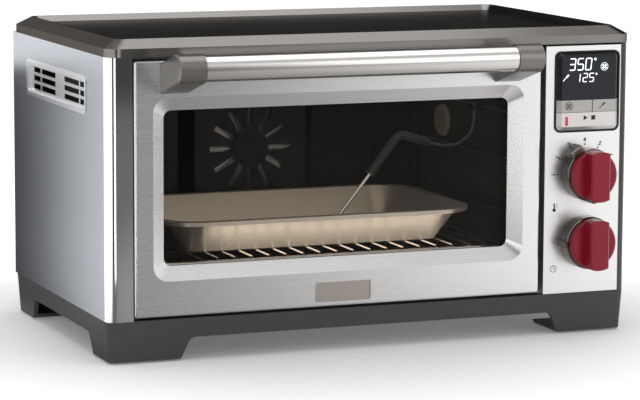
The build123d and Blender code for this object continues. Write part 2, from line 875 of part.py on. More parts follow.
def badge_plate():
    """Bare plate on the door with a raised rim."""
    x0, x1 = badge_x - badge_width / 2, badge_x + badge_width / 2
    z0, z1 = badge_z - badge_height / 2, badge_z + badge_height / 2
    plate = slab_y(rect(x0, x1, z0, z1, badge_corner), -badge_proud, 0)
    plate = chamfer(plate.edges().group_by(Axis.Y)[0], badge_chamfer)
    field = rect(x0 + badge_rim, x1 - badge_rim, z0 + badge_rim, z1 - badge_rim, badge_corner - badge_rim / 2)
    return plate - slab_y(field, -badge_proud - 1, -badge_proud + badge_sink)


# Handle
bar_half = handle_half - sleeve_length + bar_insert


def handle_bar():
    bar = rod_x(-handle_reach, handle_height, bar_radius, handle_x - bar_half, handle_x + bar_half)
    return bar - rod_x(-handle_reach, handle_height, bar_radius - bar_wall, handle_x - bar_half - 1, handle_x + bar_half + 1)


def handle_brackets():
    """Cast ends: a sleeve round the bar and a wedge back to the door."""
    ends = []
    crown = handle_height + sleeve_radius - 0.4
    heel = handle_height - sleeve_radius + 0.4
    for side in (-1, 1):
        x0 = handle_x + side * handle_half
        x1 = handle_x + side * (handle_half - sleeve_length)
        low, high = min(x0, x1), max(x0, x1)
        wedge = Polygon((-handle_reach - 3, heel), (0, bracket_low), (0, bracket_high),
                        (-handle_reach + 3, crown), align=None)
        end = slab_x(wedge, low, high) + rod_x(-handle_reach, handle_height, sleeve_radius, low, high)
        outside = end.faces().sort_by(Axis.X)[0 if side < 0 else -1]
        end = chamfer(outside.outer_wire().edges(), 1.5)
        deep = x1 + side * bar_insert
        bore = rod_x(-handle_reach, handle_height, bar_radius, min(x1 - side, deep), max(x1 - side, deep))
        ends.append(end - bore)
    return ends


# Control column
panel_top = 302.0
panel_bottom = 43.5
bezel_lip = 1.6
bezel_x0, bezel_x1 = control_x + 0.7 - display_width / 2, control_x + 0.7 + display_width / 2
bezel_z0, bezel_z1 = display_z - display_height / 2, display_z + display_height / 2
key_mid = bezel_x0 + 41.6
start_top = 233.1
hub_hole = hub_radius + running_gap


def bezel_rect(inset, radius):
    return rect(bezel_x0 + inset, bezel_x1 - inset, bezel_z0 + inset, bezel_z1 - inset, radius)


def control_panel():
    outer = rect(panel_left, control_right, panel_bottom, panel_top)
    inner = rect(panel_left + panel_skin, control_right - panel_skin, panel_bottom + panel_skin, panel_top - panel_skin)
    panel = slab_y(outer, 0, frame_front) - slab_y(inner, panel_skin, frame_front + 1)
    panel -= slab_y(bezel_rect(0, 7), -1, panel_skin + 1)
    for z in (mode_height, time_height):
        panel -= rod_y(control_x, z, hub_hole, -1, panel_skin + 1)
    return panel


def display_bezel():
    return frame_y(bezel_rect(0, 7), bezel_rect(bezel_lip, 6), -1.0, 4.0)


def island():
    """Raised block inside the bezel, with sloping edges, that the screen and keys share."""
    clear = bezel_lip + gap
    skirt = slab_y(bezel_rect(clear, 5.5), -0.5, 4.0)
    face = bezel_rect(clear + display_bevel, 2.5)
    return skirt + ruled_loft([front_plane(-0.5) * bezel_rect(clear, 5.5), front_plane(-display_proud) * face])


def island_part(x0, x1, z0, z1):
    return island() & block(x0, x1, -display_proud - 1, 5, z0, z1)


def display_screen():
    screen = island_part(bezel_x0, bezel_x1, key_split + key_gap / 2, bezel_z1)
    flange = slab_y(rect(bezel_x0 + 1, bezel_x1 - 1, key_split + key_gap, bezel_z1 - 1, 2), 4.0, 6.0)
    return screen + flange


def conv_button():
    return island_part(bezel_x0, key_mid - key_gap, start_top + key_gap / 2, key_split - key_gap / 2)


def probe_button():
    return island_part(key_mid + key_gap, bezel_x1, start_top + key_gap / 2, key_split - key_gap / 2)


lamp_bar = rect(bezel_x0 + 10.5, bezel_x0 + 13.7, 219.5, 229.0, 1.4)


def start_button():
    return island_part(bezel_x0, bezel_x1, bezel_z0, start_top - key_gap / 2) - slab_y(lamp_bar, -display_proud - 1, -1.5)


def start_indicator():
    return slab_y(lamp_bar, -display_proud - 0.3, -1.5)


def collar_outline(pointer, width, reach):
    """Circle with one pointer on its edge, aimed at the given clock angle."""
    ring = Circle(collar_radius)
    point = Rot(0, 0, pointer) * Polygon((0, -width), (reach, -width * 0.8), (reach, width * 0.8), (0, width), align=None)
    return ring + point


tab_angle, tab_width = 124.0, 9.5
heel_angle, heel_width = 286.0, 6.0


def mode_ring():
    """Selector ring with a broad tab, turning in the panel on a hollow hub."""
    shape = collar_outline(tab_angle, tab_width, pointer_reach)
    shape += collar_outline(heel_angle, heel_width, heel_reach)
    ring = slab_y(Pos(control_x, mode_height) * shape, -collar_depth, -0.5)
    ring = chamfer(ring.edges().group_by(Axis.Y)[0], 1.2)
    ring -= rod_y(control_x, mode_height, collar_radius - 4, -collar_depth - 1, -4.5)
    ring += rod_y(control_x, mode_height, hub_radius, -0.5, panel_skin + 3)
    return ring - rod_y(control_x, mode_height, shaft_radius + 0.5, -5, panel_skin + 4)


def time_ring():
    """Fixed trim ring with a small pointer."""
    ring = slab_y(Pos(control_x, time_height) * collar_outline(180, 4, heel_reach), -collar_depth, -0.1)
    ring = chamfer(ring.edges().group_by(Axis.Y)[0], 1.2)
    ring -= rod_y(control_x, time_height, collar_radius - 4, -collar_depth - 1, -4.5)
    return ring - rod_y(control_x, time_height, shaft_radius + 0.5, -5, 1)


def red_knob(z):
    """Round cap with an upright grip across it, on a shaft into the encoder."""
    cap = rod_y(control_x, z, cap_radius, -cap_front, -cap_back)
    cap = chamfer(cap.edges().group_by(Axis.Y)[0], 1.6)
    grip = rect(-grip_half, grip_half, -cap_radius - 1, cap_radius + 1) & Circle(cap_radius + 0.6)
    bar = slab_y(Pos(control_x, z) * grip, -cap_front - grip_proud, -cap_back - 1)
    bar = chamfer(bar.edges().group_by(Axis.Y)[0], 1.6)
    skirt = rod_y(control_x, z, collar_radius - 8, -cap_back, -cap_back + 8)
    return cap + bar + skirt + rod_y(control_x, z, shaft_radius, -cap_back, board_depth - 3)


def temperature_knob():
    return red_knob(mode_height)


def time_knob():
    return red_knob(time_height)


def encoders():
    """Encoder bodies on the board, bored for the knobs' shafts."""
    bodies = []
    for z in (mode_height, time_height):
        front = panel_skin + 4 if z == mode_height else panel_skin
        body = slab_y(rect(control_x - 8, control_x + 8, z - 8, z + 8), front, board_depth)
        bodies.append(body - rod_y(control_x, z, shaft_radius + running_gap, front - 1, board_depth - 2))
    return bodies


def control_board():
    """Circuit board with standoffs to the panel and the display's carrier."""
    board = block(panel_left + 4, control_right - 4, board_depth, board_depth + board_thick, 60, 298)
    for x in (panel_left + 9, control_right - 9):
        for z in (130, 200):
            board += block(x - 3, x + 3, panel_skin, board_depth, z - 3, z + 3)
    board += block(bezel_x0 + 8, bezel_x1 - 8, 6, board_depth, key_split + 6, bezel_z1 - 8)
    board += block(control_x - 25, control_x - 5, board_depth + board_thick, board_depth + 16, 70, 120)
    return board


for name, make in {
    "rubber_feet": rubber_feet, "base_frame": base_frame, "bottom_plate": bottom_plate,
    "left_side_panel": left_side_panel, "left_corner_post": left_corner_post,
    "right_corner_post": right_corner_post, "rear_panel": rear_panel,
    "rear_spacers": rear_spacers, "cord_gland": cord_gland, "top_cover": top_cover,
    "cavity_left_wall": cavity_left_wall, "cavity_right_wall": cavity_right_wall,
    "cavity_floor": cavity_floor, "cavity_roof": cavity_roof, "cavity_back": cavity_back,
    "fan_baffle": fan_baffle, "front_frame": front_frame, "door_gasket": door_gasket,
    "divider_panel": divider_panel, "insulation_blanket": insulation_blanket,
    "upper_elements": upper_elements, "lower_elements": lower_elements,
    "interior_lamp": interior_lamp, "temperature_sensor": temperature_sensor,
    "convection_motor": convection_motor, "convection_fan": convection_fan,
    "cooling_fan_housing": cooling_fan_housing, "cooling_fan_rotor": cooling_fan_rotor,
    "wire_rack": wire_rack, "roasting_pan": roasting_pan, "crumb_tray": crumb_tray,
    "probe_jack": probe_jack, "probe_plug": probe_plug, "probe_cable": probe_cable,
    "probe_handle": probe_handle, "probe_needle": probe_needle,
    "door_panel": door_panel, "door_outer_glass": door_outer_glass,
    "door_inner_glass": door_inner_glass, "door_liner": door_liner, "door_hinges": door_hinges,
    "hinge_brackets": hinge_brackets, "badge_plate": badge_plate, "handle_bar": handle_bar,
    "handle_brackets": handle_brackets, "control_panel": control_panel,
    "display_bezel": display_bezel, "display_screen": display_screen, "conv_button": conv_button,
    "probe_button": probe_button, "start_button": start_button, "start_indicator": start_indicator,
    "mode_ring": mode_ring, "temperature_knob": temperature_knob, "time_ring": time_ring,
    "time_knob": time_knob, "encoders": encoders, "control_board": control_board,
}.items():
    shapes = make()
    save(name, *(shapes if isinstance(shapes, list) else [shapes]))

save("right_side_panel", mirrored(left_side_panel()))
save("vent_grilles", left_vent(), mirrored(left_vent()))
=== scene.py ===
# %% [markdown]
# # A countertop convection oven
# The frame is the finished CAD model: every solid is already in its place, in metres.
# This lesson gives each piece its finish, adds what is printed, lit or too fine for the
# solids, and sets up a small photo studio round them.

# %% Load the frame
import bpy
import bmesh
import math
from mathutils import Matrix, Vector


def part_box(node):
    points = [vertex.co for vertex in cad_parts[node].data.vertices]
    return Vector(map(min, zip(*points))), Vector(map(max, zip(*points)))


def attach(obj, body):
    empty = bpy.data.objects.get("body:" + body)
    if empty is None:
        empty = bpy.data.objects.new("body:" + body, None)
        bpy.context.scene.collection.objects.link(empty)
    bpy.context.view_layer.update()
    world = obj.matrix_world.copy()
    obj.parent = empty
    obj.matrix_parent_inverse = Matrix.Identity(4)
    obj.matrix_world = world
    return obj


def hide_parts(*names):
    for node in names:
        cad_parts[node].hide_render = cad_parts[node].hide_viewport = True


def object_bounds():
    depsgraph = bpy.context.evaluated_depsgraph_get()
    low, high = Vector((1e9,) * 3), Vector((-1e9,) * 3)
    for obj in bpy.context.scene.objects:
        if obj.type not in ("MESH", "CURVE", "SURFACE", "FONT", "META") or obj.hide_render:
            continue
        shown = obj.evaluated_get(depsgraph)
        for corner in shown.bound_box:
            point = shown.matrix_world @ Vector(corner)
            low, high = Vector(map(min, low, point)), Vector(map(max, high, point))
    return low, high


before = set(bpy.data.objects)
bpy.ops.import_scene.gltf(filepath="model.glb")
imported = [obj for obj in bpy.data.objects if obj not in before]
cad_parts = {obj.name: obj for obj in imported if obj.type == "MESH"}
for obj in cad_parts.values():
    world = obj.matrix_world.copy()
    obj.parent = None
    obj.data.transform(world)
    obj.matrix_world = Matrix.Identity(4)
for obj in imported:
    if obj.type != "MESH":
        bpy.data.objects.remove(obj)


def plain(bounds):
    """Corners of a box as plain lists of floats."""
    return [[float(value) for value in corner] for corner in bounds]


cad_bounds = plain(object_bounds())
MM = 0.001
print("CAD box", cad_bounds)

# %% [markdown]
# ## Reference places
# The front plane and the faces that carry marks are read from the loaded solids. The places
# of the marks on those faces, the probe's cable and the studio are given, so a wider
# or deeper oven needs them moved.
# `FRONT` is the plane of the door and the control panel, `OVEN_LEFT` is the left end of the
# whole model, which is its vent trim, and `edges` reads a solid's box.

# %% Places read from the frame


def edges(node):
    """Lowest and highest corner of a solid, as two vectors."""
    low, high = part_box(node)
    return Vector(low), Vector(high)


FRONT = edges("control_panel")[0].y
OVEN_LEFT = cad_bounds[0][0]
key_face = edges("start_button")[0].y
print("front plane at", round(FRONT, 4), "key face at", round(key_face, 4))

# %% [markdown]
# ## Camera
# The view is a long lens from the left of the front, a little above the lid. Azimuth,
# elevation and roll came from fitting a camera to the straight edges of the oven.

# %% Camera
SENSOR = 36.0
LENS = 165.08
CAMERA_ASIDE = -1.1432
CAMERA_AWAY = 2.7104
CAMERA_HEIGHT = 0.5698
camera_azimuth = math.radians(-21.761)
camera_elevation = math.radians(8.094)
camera_roll = math.radians(0.265)
camera_place = Vector((CAMERA_ASIDE, FRONT - CAMERA_AWAY, CAMERA_HEIGHT))

backward = Vector((math.sin(camera_azimuth) * math.cos(camera_elevation),
                   -math.cos(camera_azimuth) * math.cos(camera_elevation),
                   math.sin(camera_elevation)))
level_right = (-backward).cross(Vector((0, 0, 1))).normalized()
level_up = level_right.cross(-backward)
turned_right = math.cos(camera_roll) * level_right + math.sin(camera_roll) * level_up
turned_up = -math.sin(camera_roll) * level_right + math.cos(camera_roll) * level_up

camera_data = bpy.data.cameras.new("camera")
camera_data.sensor_width = SENSOR
camera_data.sensor_fit = "HORIZONTAL"
camera_data.lens = LENS
camera = bpy.data.objects.new("camera", camera_data)
camera.matrix_world = Matrix((turned_right, turned_up, backward)).transposed().to_4x4()
camera.location = camera_place
bpy.context.scene.collection.objects.link(camera)
bpy.context.scene.camera = camera
print("lens", camera_data.lens, "mm at", [round(c, 3) for c in camera_place])

# %% [markdown]
# ## Node helpers
# A material is a tree of nodes. `add` makes a node with its values, `maths` makes one step
# of arithmetic from numbers and sockets, and `principled` starts a material with its shader.

# %% Node helpers


def add(tree, kind, **values):
    """New node. A value sets the node's property of that name, or else its input."""
    node = tree.nodes.new(kind)
    for name, value in values.items():
        if hasattr(node, name):
            setattr(node, name, value)
        else:
            node.inputs[name.replace("_", " ")].default_value = value
    return node


def set_inputs(node, **values):
    """Set constants on a node's inputs, with underscores for the spaces in their names."""
    for name, value in values.items():
        node.inputs[name.replace("_", " ")].default_value = value


def maths(tree, operation, *values):
    """Output of a math node whose inputs are numbers or sockets."""
    node = add(tree, "ShaderNodeMath", operation=operation)
    for socket, value in zip(node.inputs, values):
        if isinstance(value, bpy.types.NodeSocket):
            tree.links.new(value, socket)
        else:
            socket.default_value = value
    return node.outputs[0]


def principled(name):
    """New material, its tree and its Principled shader."""
    material = bpy.data.materials.new(name)
    material.use_nodes = True
    return material, material.node_tree, material.node_tree.nodes["Principled BSDF"]


def rgba(colour):
    """Colour with full opacity."""
    return tuple(colour) + (1.0,)


FLOAT, VECTOR = "NodeSocketFloat", "NodeSocketVector"


def texture_group(name, inputs):
    """Empty group with inputs (name, kind, value) that puts out shade, roughness and height."""
    group = bpy.data.node_groups.new(name, "ShaderNodeTree")
    for label, kind, value in inputs:
        socket = group.interface.new_socket(name=label, in_out="INPUT", socket_type=kind)
        socket.default_value = value
    for label in ("Shade", "Roughness", "Height"):
        group.interface.new_socket(name=label, in_out="OUTPUT", socket_type=FLOAT)
    return group, group.nodes.new("NodeGroupInput"), group.nodes.new("NodeGroupOutput")


def noise(group, place, **values):
    """Noise texture read at a place, as the socket of its value."""
    node = add(group, "ShaderNodeTexNoise", **values)
    group.links.new(place, node.inputs["Vector"])
    return node.outputs["Fac"]


# %% [markdown]
# ## Brushed grain
# Brushed steel is covered with fine parallel scratches. Noise stretched along one
# direction gives them. The group takes the stretch as a vector, so one group serves the
# front, which is brushed from side to side, and the turned parts.

# %% Brushed grain group
BROAD_SHARE = 0.35
GRAIN_TO_ROUGHNESS = 0.5


def brushed_group():
    group, start, end = texture_group(
        "brushed_grain",
        [("Stretch", VECTOR, (1.0, 1.0, 1.0)), ("Depth", FLOAT, 0.5), ("Base Roughness", FLOAT, 0.3)])
    link = group.links.new
    place = add(group, "ShaderNodeTexCoord")
    stretch = add(group, "ShaderNodeVectorMath", operation="MULTIPLY")
    link(place.outputs["Object"], stretch.inputs[0])
    link(start.outputs["Stretch"], stretch.inputs[1])
    fine = noise(group, stretch.outputs[0], Scale=1.0, Detail=3.0, Roughness=0.6)
    broad = noise(group, stretch.outputs[0], Scale=0.13, Detail=2.0)
    blend = maths(group, "MULTIPLY_ADD", broad, BROAD_SHARE, fine)
    centred = maths(group, "SUBTRACT", blend, 0.5 * (1.0 + BROAD_SHARE))
    grain = maths(group, "MULTIPLY", centred, start.outputs["Depth"])
    rough = maths(group, "MULTIPLY_ADD", grain, GRAIN_TO_ROUGHNESS, start.outputs["Base Roughness"])
    link(maths(group, "ADD", grain, 1.0), end.inputs["Shade"])
    link(rough, end.inputs["Roughness"])
    link(fine, end.inputs["Height"])
    return group


BRUSHED = brushed_group()
print("brushed grain has", len(BRUSHED.nodes), "nodes")

# %% [markdown]
# ## Mottle
# Paint, cast metal, rubber and moulded plastic are never perfectly even. Two sizes of noise
# give a slow change of shade and a fine pebble for the bump.

# %% Mottle group
SLOW_SCALE = 14.0


def mottle_group():
    group, start, end = texture_group(
        "mottle",
        [("Pebble Scale", FLOAT, 900.0), ("Depth", FLOAT, 0.1), ("Base Roughness", FLOAT, 0.5)])
    link = group.links.new
    place = add(group, "ShaderNodeTexCoord").outputs["Object"]
    pebble = add(group, "ShaderNodeTexNoise", Detail=2.0)
    link(place, pebble.inputs["Vector"])
    link(start.outputs["Pebble Scale"], pebble.inputs["Scale"])
    slow = noise(group, place, Scale=SLOW_SCALE, Detail=3.0)
    centred = maths(group, "SUBTRACT", slow, 0.5)
    change = maths(group, "MULTIPLY", centred, start.outputs["Depth"])
    link(maths(group, "ADD", change, 1.0), end.inputs["Shade"])
    link(maths(group, "ADD", change, start.outputs["Base Roughness"]), end.inputs["Roughness"])
    link(pebble.outputs["Fac"], end.inputs["Height"])
    return group


MOTTLE = mottle_group()
print("mottle has", len(MOTTLE.nodes), "nodes")

# %% [markdown]
# ## Surfaces
# A real surface differs from spot to spot in shade, gloss and height all at once. `surface`
# builds a Principled material round one of the two groups: the group's shade
# multiplies the colour, its roughness and height go straight in, and the constants are set
# on the shader itself.

# %% Surface builder
BUMP_DISTANCE = 0.0001


def surface(name, colour, group, settings, bump, **constants):
    material, tree, shader = principled(name)
    texture = tree.nodes.new("ShaderNodeGroup")
    texture.node_tree = group
    set_inputs(texture, **settings)
    tint = add(tree, "ShaderNodeMix", data_type="RGBA", blend_type="MULTIPLY")
    set_inputs(tint, Factor=1.0, A=rgba(colour))
    relief = add(tree, "ShaderNodeBump", Strength=bump, Distance=BUMP_DISTANCE)
    link = tree.links.new
    link(texture.outputs["Shade"], tint.inputs["B"])
    link(tint.outputs["Result"], shader.inputs["Base Color"])
    link(texture.outputs["Roughness"], shader.inputs["Roughness"])
    link(texture.outputs["Height"], relief.inputs["Height"])
    link(relief.outputs["Normal"], shader.inputs["Normal"])
    set_inputs(shader, **constants)
    return material


def steel(name, colour, stretch, rough, depth=0.22, bump=0.12):
    settings = {"Stretch": stretch, "Depth": depth, "Base Roughness": rough}
    return surface(name, colour, BRUSHED, settings, bump, Metallic=1.0)


def coated(name, colour, rough, pebble=900.0, depth=0.1, bump=0.1, **constants):
    settings = {"Pebble Scale": pebble, "Depth": depth, "Base Roughness": rough}
    return surface(name, colour, MOTTLE, settings, bump, **constants)


# %% [markdown]
# ## Finishes
# The front is brushed stainless steel, the corner posts are polished, the lid is dark enamel
# and the base is moulded. The dials are deep red with a soft gloss. The sides, the right post,
# the dial rings and the two small keys carry painted shade: each is a darker copy of its metal.
# A stretch is low along the scratches and high across them.

# %% Finishes of the solids
SIDEWAYS = (6.0, 900.0, 900.0)
UPRIGHT = (900.0, 900.0, 6.0)
FRONT_TO_BACK = (900.0, 6.0, 900.0)
TURNED = (500.0, 8.0, 500.0)
EVEN = (200.0, 200.0, 200.0)
FRONT_STEEL = (0.86, 0.855, 0.85)
finishes = {
    "door_steel": steel("door_steel", FRONT_STEEL, SIDEWAYS, 0.27, depth=0.07, bump=0.02),
    "panel_steel": steel("panel_steel", FRONT_STEEL, SIDEWAYS, 0.3, depth=0.07, bump=0.02),
    "badge_steel": steel("badge_steel", (0.54, 0.49, 0.45), SIDEWAYS, 0.36),
    # Painted shade and painted reflection: the sides and back are the same brushed steel as the front,
    # coloured darker and bluer.
    "side_steel_painted_shade": steel("side_steel_painted_shade", (0.5, 0.525, 0.565), FRONT_TO_BACK, 0.3, depth=0.1, bump=0.03),
    # Painted shade: the right post is the same polished steel as the left one, coloured near black.
    "right_post_painted_shade": steel("right_post_painted_shade", (0.075, 0.075, 0.075), UPRIGHT, 0.16, depth=0.1, bump=0.03),
    "polished": steel("polished_steel", (0.95, 0.94, 0.93), UPRIGHT, 0.08, depth=0.06, bump=0.03),
    "bar_steel": steel("bar_steel", (0.76, 0.735, 0.71), SIDEWAYS, 0.22, depth=0.15),
    "plain_sheet": steel("plain_sheet", (0.5, 0.5, 0.5), SIDEWAYS, 0.4),
    "cavity_steel": coated("cavity_enamel", (0.01, 0.009, 0.008), 0.35, pebble=700.0, depth=0.3,
                           bump=0.08, Specular_IOR_Level=0.3),
    # Painted shade: the dial rings are turned steel whose warm tone is their own; so dark a colour stands for
    # shade.
    "rings_painted_shade": steel("turned_steel_painted_shade", (0.2, 0.185, 0.17), TURNED, 0.26, depth=0.18),
    "vent": steel("vent_steel", (0.82, 0.83, 0.85), FRONT_TO_BACK, 0.3),
    "rack": steel("plated_wire", (0.85, 0.84, 0.82), EVEN, 0.16, depth=0.08, bump=0.02),
    "lid": coated("lid_enamel", (0.24, 0.228, 0.216), 0.24, pebble=1300.0, depth=0.08, bump=0.05,
                  Metallic=1.0, Specular_Tint=(0.24, 0.23, 0.22, 1.0)),
    "base": coated("base_moulding", (0.066, 0.066, 0.068), 0.5, pebble=1500.0, bump=0.08,
                   Specular_IOR_Level=0.2),
    "casting": coated("handle_casting", (0.22, 0.207, 0.198), 0.33, pebble=1200.0, bump=0.06, Metallic=0.8),
    "rubber": coated("rubber", (0.02, 0.02, 0.02), 0.8, pebble=600.0),
    "black": coated("black_plastic", (0.009, 0.009, 0.01), 0.3, pebble=1200.0, Specular_IOR_Level=0.25),
    "screen": coated("screen_gloss", (0.012, 0.013, 0.018), 0.06, pebble=40.0, depth=0.02, bump=0.0,
                     Specular_IOR_Level=0.35),
    "keys": coated("key_metal", (0.7, 0.67, 0.65), 0.34, pebble=1800.0, depth=0.04, bump=0.04,
                   Metallic=0.75),
    # Painted shade: the two small keys are the same metal as the start key, in a darker copy.
    "mode_keys_painted_shade": coated("mode_key_metal_painted_shade", (0.44, 0.42, 0.4), 0.34, pebble=1800.0, depth=0.04, bump=0.04,
                        Metallic=0.75),
    "red": coated("red_dial", (0.24, 0.008, 0.022), 0.3, pebble=1500.0, bump=0.04, Specular_IOR_Level=0.3),
    "pan": coated("pan_finish", (0.85, 0.79, 0.7), 0.36, pebble=500.0, depth=0.15, bump=0.05,
                  Metallic=0.75),
    "grip": coated("probe_grip", (0.03, 0.034, 0.037), 0.4),
    "braid": coated("probe_braid", (0.16, 0.16, 0.17), 0.4, pebble=2500.0, depth=0.2, bump=0.5,
                    Metallic=0.6),
    "sheath": coated("heater_sheath", (0.04, 0.034, 0.03), 0.5),
    "wool": coated("mineral_wool", (0.12, 0.11, 0.09), 0.95, pebble=300.0, depth=0.3, bump=0.6),
    "board": coated("circuit_board", (0.02, 0.12, 0.05), 0.4, pebble=600.0),
    "lamp": coated("lamp_glass", (0.3, 0.27, 0.22), 0.2, pebble=300.0, bump=0.05, Coat_Weight=0.4),
    "ink": coated("black_ink", (0.01, 0.01, 0.01), 0.5),
}
print(len(finishes), "finishes")

# %% [markdown]
# ## Glass
# Both panes of the door are clear with a thin coating against glare, which a low index of
# refraction stands for. The cavity looks dark because its own enamel is. Light Path gives
# shadow rays a plain see-through pane, so the lamps light the inside without caustics.

# %% Glass
COATED_GLASS_IOR = 1.13


def glass(name, colour, shadow_colour):
    material, tree, shader = principled(name)
    set_inputs(shader, Base_Color=rgba(colour), Roughness=0.0, IOR=COATED_GLASS_IOR, Transmission_Weight=1.0)
    clear = add(tree, "ShaderNodeBsdfTransparent", Color=rgba(shadow_colour))
    ray = add(tree, "ShaderNodeLightPath")
    mix = add(tree, "ShaderNodeMixShader")
    tree.links.new(ray.outputs["Is Shadow Ray"], mix.inputs["Fac"])
    tree.links.new(shader.outputs[0], mix.inputs[1])
    tree.links.new(clear.outputs[0], mix.inputs[2])
    tree.links.new(mix.outputs[0], tree.nodes["Material Output"].inputs["Surface"])
    return material


finishes["outer_glass"] = glass("outer_glass", (0.86, 0.84, 0.82), (0.8, 0.78, 0.76))
finishes["inner_glass"] = glass("inner_glass", (0.92, 0.91, 0.9), (0.88, 0.87, 0.86))
print("index of refraction", COATED_GLASS_IOR)

# %% [markdown]
# ## Lit pieces
# The digits glow on the black screen, and the start key's red window glows a little.

# %% Lit pieces


def glowing(name, colour, strength):
    material, tree, shader = principled(name)
    set_inputs(shader, Base_Color=rgba(colour), Roughness=0.35, Emission_Color=rgba(colour),
               Emission_Strength=strength)
    return material


finishes["indicator"] = glowing("red_indicator", (0.6, 0.02, 0.07), 0.2)
finishes["digits"] = glowing("lit_digits", (0.9, 0.95, 1.0), 1.0)
print(len(finishes), "finishes with glass and light")

# %% [markdown]
# ## Dress the solids
# Each finish lists the solids that wear it.

# %% Dress the solids
wears = {
    "door_steel": ["door_panel"],
    "panel_steel": ["control_panel"],
    "badge_steel": ["badge_plate"],
    "side_steel_painted_shade": ["left_side_panel", "right_side_panel", "rear_panel"],
    "polished": ["left_corner_post", "probe_needle"],
    "right_post_painted_shade": ["right_corner_post"],
    "bar_steel": ["handle_bar"],
    "plain_sheet": ["bottom_plate", "front_frame", "divider_panel", "hinge_brackets", "door_hinges",
                    "convection_motor", "encoders", "door_liner", "convection_fan"],
    "cavity_steel": ["cavity_left_wall", "cavity_right_wall", "cavity_floor", "cavity_roof",
                     "cavity_back", "fan_baffle", "crumb_tray"],
    "rings_painted_shade": ["mode_ring", "time_ring"],
    "vent": ["vent_grilles"],
    "rack": ["wire_rack", "probe_jack", "temperature_sensor"],
    "lid": ["top_cover"],
    "base": ["base_frame"],
    "casting": ["handle_brackets"],
    "rubber": ["rubber_feet", "rear_spacers", "cord_gland", "door_gasket"],
    "black": ["display_bezel", "cooling_fan_housing", "cooling_fan_rotor"],
    "screen": ["display_screen"],
    "keys": ["start_button"],
    "mode_keys_painted_shade": ["conv_button", "probe_button"],
    "red": ["temperature_knob", "time_knob"],
    "pan": ["roasting_pan"],
    "grip": ["probe_handle", "probe_plug"],
    "sheath": ["upper_elements", "lower_elements"],
    "wool": ["insulation_blanket"],
    "board": ["control_board"],
    "lamp": ["interior_lamp"],
    "indicator": ["start_indicator"],
    "outer_glass": ["door_outer_glass"],
    "inner_glass": ["door_inner_glass"],
}


def dress(piece, finish):
    """Give a solid one finish in place of its own."""
    piece.data.materials.clear()
    piece.data.materials.append(finishes[finish])


for finish, nodes in wears.items():
    for node in nodes:
        dress(bpy.data.objects[node], finish)
print("dressed", sum(len(nodes) for nodes in wears.values()), "solids")

# %% [markdown]
# ## Probe cable
# The real cable is a steel braid round its wires. It hangs in a loop from its plug to the
# back end of the probe's grip. A string of short cylinders would show its joints, so a
# NURBS curve led by listed points, each x and z in metres, gives one smooth line.

# %% Probe cable
cable_route = [(0.1609, 0.2257), (0.1609, 0.2127), (0.1565, 0.2005), (0.1468, 0.1918),
               (0.1342, 0.1884), (0.1213, 0.1895), (0.1088, 0.1932)]
CABLE_BEHIND_FRONT = 0.115
cable_depth = FRONT + CABLE_BEHIND_FRONT
cable_radius = 0.0015
cable_curve = bpy.data.curves.new("probe_cable_braid", "CURVE")
cable_curve.dimensions = "3D"
cable_curve.bevel_depth = cable_radius
cable_curve.bevel_resolution = 4
spline = cable_curve.splines.new("NURBS")
spline.points.add(len(cable_route) - 1)
for point, (x, z) in zip(spline.points, cable_route):
    point.co = (x, cable_depth, z, 1.0)
spline.order_u = 3
spline.use_endpoint_u = True
spline.resolution_u = 12
cable = bpy.data.objects.new("probe_cable_braid", cable_curve)
bpy.context.scene.collection.objects.link(cable)
cable_curve.materials.append(finishes["braid"])
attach(cable, "housing")
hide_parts("probe_cable")

# %% [markdown]
# ## Printed and lit marks
# The screen shows two lit temperatures, and the keys and the dial carry small dark marks.
# They are flat shapes a tenth of a millimetre thick. Drawing them as outlines in
# millimetres keeps them sharp at any size. Their places count from `OVEN_LEFT` and from
# the floor.

# %% Shapes for marks
MARK_DEPTH = 0.0001


def bar(start, end, width):
    """Four corners of a straight stroke between two points."""
    run = Vector(end) - Vector(start)
    side = Vector((-run.y, run.x)).normalized() * width / 2
    return [tuple(Vector(point) + sign * side)
            for point, sign in ((start, 1), (start, -1), (end, -1), (end, 1))]


def strokes(points, width):
    """A bar between each two neighbours of a line of points."""
    return [bar(a, b, width) for a, b in zip(points, points[1:])]


def around(centre, radius, count, first=0.0, sweep=360.0):
    """Points on a circle, angles in degrees from the right, anticlockwise."""
    steps = [math.radians(first + sweep * step / count) for step in range(count + (sweep < 360))]
    return [(centre[0] + radius * math.cos(a), centre[1] + radius * math.sin(a)) for a in steps]


def hoop(centre, radius, width, count=20):
    """Closed ring of short bars."""
    points = around(centre, radius, count)
    return strokes(points + points[:1], width)


def marks(name, outlines, plane, finish, body):
    """One mesh of thin prisms that stand on a plane facing the front."""
    mark_mesh = bmesh.new()
    for outline in outlines:
        doubled = sum(a[0] * b[1] - b[0] * a[1] for a, b in zip(outline, outline[1:] + outline[:1]))
        ordered = outline if doubled > 0 else outline[::-1]
        front, back = [[mark_mesh.verts.new((x * MM + OVEN_LEFT, y, z * MM)) for x, z in ordered]
                       for y in (plane - MARK_DEPTH, plane)]
        mark_mesh.faces.new(front)
        mark_mesh.faces.new(back[::-1])
        for index, corner in enumerate(front):
            other = (index + 1) % len(front)
            mark_mesh.faces.new((corner, back[index], back[other], front[other]))
    mesh = bpy.data.meshes.new(name)
    mark_mesh.to_mesh(mesh)
    mark_mesh.free()
    mesh.materials.append(finishes[finish])
    piece = bpy.data.objects.new(name, mesh)
    bpy.context.scene.collection.objects.link(piece)
    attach(piece, body)
    print(name, "has", len(outlines), "shapes")


# %% [markdown]
# ## Lit digits
# A seven-segment digit is seven short bars. Each bar is a stretched hexagon, and the whole
# digit leans a little, as on the real screen. Blender's own font has no such bars, so they
# are drawn. A segment runs between two corners of a grid that is one wide and two high.

